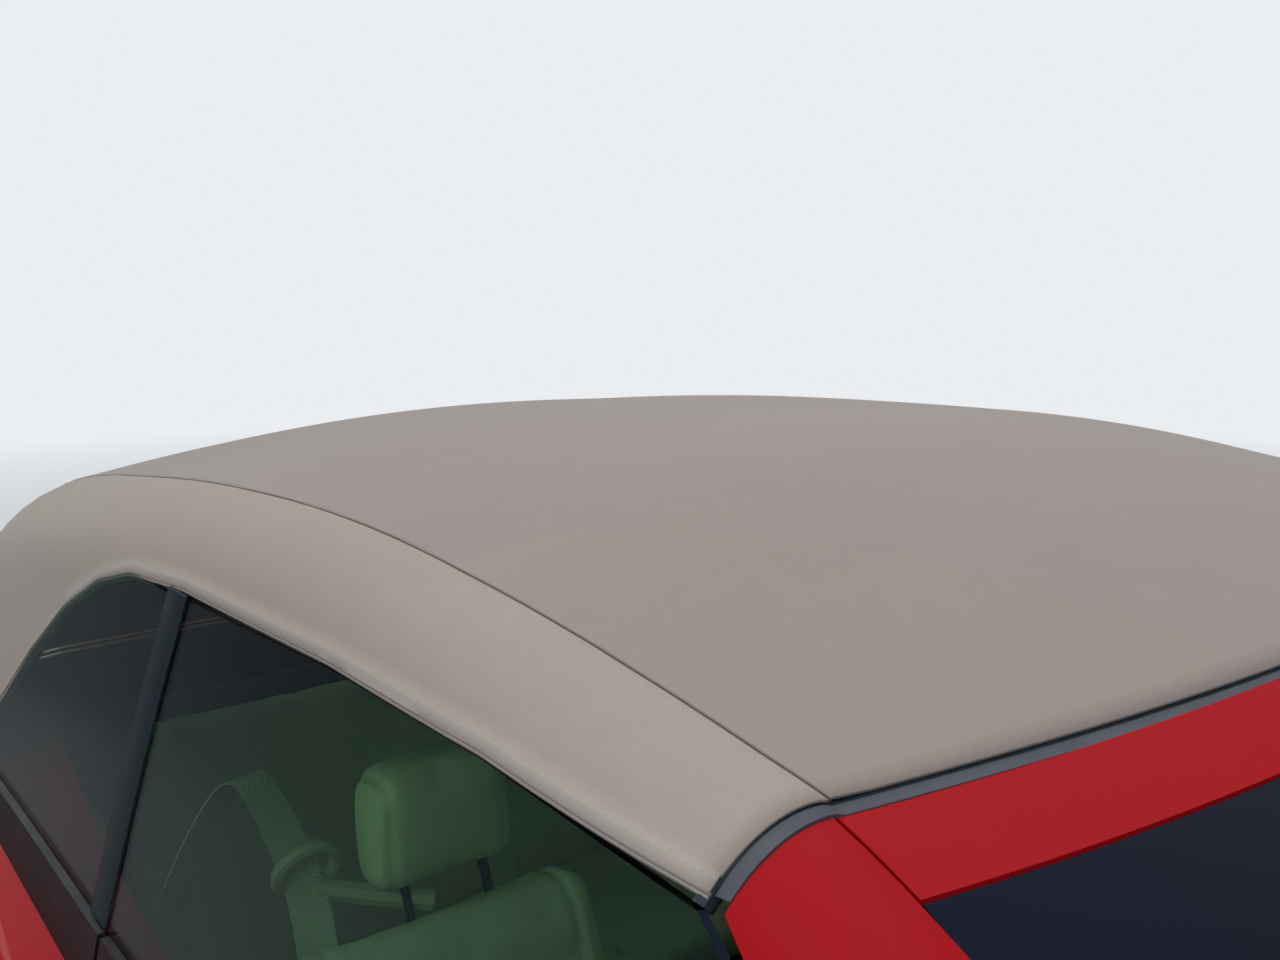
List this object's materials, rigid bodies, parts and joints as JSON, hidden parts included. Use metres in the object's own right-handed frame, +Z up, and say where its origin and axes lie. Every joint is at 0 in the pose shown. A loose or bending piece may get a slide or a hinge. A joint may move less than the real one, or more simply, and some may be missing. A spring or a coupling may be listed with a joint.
{
  "type": "two-door convertible car",
  "caption": "Low two-door four-seat convertible car with its cloth roof up, framed windscreen, opening doors, bonnet and boot lid, and steered, rolling wheels.",
  "frame": {"origin": "on the ground, below the middle of the bounding box", "axes": "+X forward along the car, +Y to the car's left, +Z up"},
  "size_m": [4.8928, 2.012, 1.4328],
  "materials": {
    "alloy": "painted silver",
    "black_trim": "fine grain",
    "cloth": "woven tan canvas",
    "interior": "light stone grain",
    "iron": "cast",
    "lamp": "clear lens",
    "leather": "light stone",
    "liner": "rough",
    "paint": "gloss red",
    "screen_glass": "clear tinted",
    "seal": "grey",
    "side_glass": "dark green tint",
    "steel": "bare",
    "tail_lens": "red lens",
    "tyre": "black",
    "underbody": "black coating"
  },
  "bodies": {
    "chassis": {"body_sides": "paint", "console": "interior", "cowl_panel": "black_trim", "dashboard": "interior", "engine_block": "iron", "exhaust": "steel", "floor_pan": "underbody", "front_bumper": "paint", "front_fenders": "paint", "front_seats": "leather", "front_subframe": "iron", "fuel_tank": "black_trim", "grille": "black_trim", "head_lamps": "lamp", "header": "paint", "header_seal": "seal", "quarter_glass": "side_glass", "quarter_mouldings": "black_trim", "radiator_panel": "underbody", "rear_bumper": "paint", "rear_deck": "paint", "rear_seat": "leather", "rear_subframe": "iron", "rear_trims": "interior", "rear_window": "side_glass", "screen_pillars": "paint", "soft_top": "cloth", "tail_lamps": "tail_lens", "top_frame": "black_trim", "wheel_liners": "liner", "windscreen": "screen_glass"},
    "hood": {"hood": "paint"},
    "boot_lid": {"boot_lid": "paint"},
    "steering_wheel": {"steering_wheel": "black_trim"},
    "door_r": {"door_glass_r": "side_glass", "door_handle_r": "paint", "door_mirror_r": "paint", "door_moulding_r": "black_trim", "door_r": "paint", "door_trim_r": "interior"},
    "knuckle_r": {"knuckle_r": "iron"},
    "wheel_front_r": {"wheel_front_r": "alloy", "tyre_front_r": "tyre"},
    "wheel_rear_r": {"wheel_rear_r": "alloy", "tyre_rear_r": "tyre"},
    "door_l": {"door_glass_l": "side_glass", "door_handle_l": "paint", "door_l": "paint", "door_mirror_l": "paint", "door_moulding_l": "black_trim", "door_trim_l": "interior"},
    "knuckle_l": {"knuckle_l": "iron"},
    "wheel_front_l": {"wheel_front_l": "alloy", "tyre_front_l": "tyre"},
    "wheel_rear_l": {"wheel_rear_l": "alloy", "tyre_rear_l": "tyre"}
  },
  "joints": [
    {"name": "door_r_hinge", "type": "hinge", "parent": "chassis", "child": "door_r", "pos_m": [0.979, -0.891, 0.6], "axis": [0, 0, 1], "range_deg": [0, 65]},
    {"name": "door_l_hinge", "type": "hinge", "parent": "chassis", "child": "door_l", "pos_m": [0.979, 0.891, 0.6], "axis": [0, 0, -1], "range_deg": [0, 65]},
    {"name": "hood_hinge", "type": "hinge", "parent": "chassis", "child": "hood", "pos_m": [1.15, 0, 0.95], "axis": [0, -1, 0], "range_deg": [0, 52]},
    {"name": "boot_lid_hinge", "type": "hinge", "parent": "chassis", "child": "boot_lid", "pos_m": [-1.8, 0, 1.036], "axis": [0, 1, 0], "range_deg": [0, 70]},
    {"name": "steer_r", "type": "hinge", "parent": "chassis", "child": "knuckle_r", "pos_m": [1.455, -0.745, 0.334], "axis": [0, 0, 1], "range_deg": [-34, 34]},
    {"name": "steer_l", "type": "hinge", "parent": "chassis", "child": "knuckle_l", "pos_m": [1.455, 0.745, 0.334], "axis": [0, 0, 1], "range_deg": [-34, 34]},
    {"name": "steering_wheel_turn", "type": "hinge", "parent": "chassis", "child": "steering_wheel", "pos_m": [0.56, 0.37, 0.835], "axis": [-0.922, 0, 0.3872], "range_deg": [-520, 520]},
    {"name": "wheel_front_r_spin", "type": "hinge", "parent": "knuckle_r", "child": "wheel_front_r", "pos_m": [1.455, -0.775, 0.334], "axis": [0, 1, 0], "continuous": true},
    {"name": "wheel_rear_r_spin", "type": "hinge", "parent": "chassis", "child": "wheel_rear_r", "pos_m": [-1.265, -0.77, 0.334], "axis": [0, 1, 0], "continuous": true},
    {"name": "wheel_front_l_spin", "type": "hinge", "parent": "knuckle_l", "child": "wheel_front_l", "pos_m": [1.455, 0.775, 0.334], "axis": [0, 1, 0], "continuous": true},
    {"name": "wheel_rear_l_spin", "type": "hinge", "parent": "chassis", "child": "wheel_rear_l", "pos_m": [-1.265, 0.77, 0.334], "axis": [0, 1, 0], "continuous": true}
  ],
  "couplings": [
    {"joint": "steer_l", "follows": "steer_r", "ratio": 1},
    {"joint": "steering_wheel_turn", "follows": "steer_r", "ratio": 15}
  ]
}
